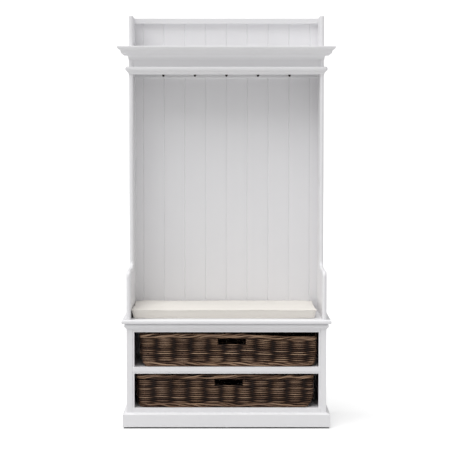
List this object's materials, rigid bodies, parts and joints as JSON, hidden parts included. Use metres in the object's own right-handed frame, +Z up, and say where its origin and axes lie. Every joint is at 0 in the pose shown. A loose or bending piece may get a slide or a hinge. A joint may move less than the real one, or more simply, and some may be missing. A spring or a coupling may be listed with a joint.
{
  "type": "hall tree",
  "caption": "Painted hall stand with a bench seat and cushion, basket drawers below, side arms, a tongue-and-groove back, and coat hooks under a moulded hat shelf.",
  "frame": {"origin": "on the floor, under the middle of the whole stand", "axes": "+Z up, the front faces -Y, +X to the right of someone facing it"},
  "size_m": [1.07, 0.5, 1.994],
  "materials": {
    "white_paint": "satin white paint over wood, brushed",
    "rattan": "grey-brown washed rattan core, woven, matt",
    "hook_metal": "dark bronze, satin",
    "cushion_fabric": "plain-woven cream cotton",
    "glide_plastic": "matt dark plastic",
    "bare_wood": "unfinished beech"
  },
  "bodies": {
    "stand": {"back_board_01": "white_paint", "back_board_02": "white_paint", "back_board_03": "white_paint", "back_board_04": "white_paint", "back_board_05": "white_paint", "back_board_06": "white_paint", "back_board_07": "white_paint", "back_board_08": "white_paint", "back_board_09": "white_paint", "back_board_10": "white_paint", "bottom_rail": "white_paint", "cabinet_back": "white_paint", "cabinet_bottom": "white_paint", "cabinet_side_left": "white_paint", "cabinet_side_right": "white_paint", "cornice_front": "white_paint", "cornice_left": "white_paint", "cornice_right": "white_paint", "crest_rail": "white_paint", "dowels": "bare_wood", "frieze": "white_paint", "glides": "glide_plastic", "hat_shelf": "white_paint", "hook_1": "hook_metal", "hook_2": "hook_metal", "hook_3": "hook_metal", "hook_4": "hook_metal", "hook_5": "hook_metal", "hook_rail": "white_paint", "hook_screws": "hook_metal", "lower_batten": "white_paint", "middle_rail": "white_paint", "middle_shelf": "white_paint", "nose_moulding_front": "white_paint", "nose_moulding_left": "white_paint", "nose_moulding_right": "white_paint", "opening_beads": "white_paint", "plinth_back": "white_paint", "plinth_front": "white_paint", "plinth_left": "white_paint", "plinth_right": "white_paint", "seat_board": "white_paint", "seat_moulding_front": "white_paint", "seat_moulding_left": "white_paint", "seat_moulding_right": "white_paint", "side_panel_left": "white_paint", "side_panel_right": "white_paint", "stile_left": "white_paint", "stile_right": "white_paint", "top_rail": "white_paint", "upper_batten": "white_paint"},
    "upper_basket": {"upper_basket_base": "rattan", "upper_basket_foot": "rattan", "upper_basket_rim": "rattan", "upper_basket_wall": "rattan"},
    "lower_basket": {"lower_basket_base": "rattan", "lower_basket_foot": "rattan", "lower_basket_rim": "rattan", "lower_basket_wall": "rattan"},
    "cushion": {"seat_cushion": "cushion_fabric"}
  },
  "joints": [
    {"name": "upper_basket_slide", "type": "slide", "parent": "stand", "child": "upper_basket", "axis": [0, -1, 0], "range_m": [0, 0.38]},
    {"name": "lower_basket_slide", "type": "slide", "parent": "stand", "child": "lower_basket", "axis": [0, -1, 0], "range_m": [0, 0.38]},
    {"name": "cushion_lift", "type": "slide", "parent": "stand", "child": "cushion", "axis": [0, 0, 1], "range_m": [0, 0.3]}
  ]
}
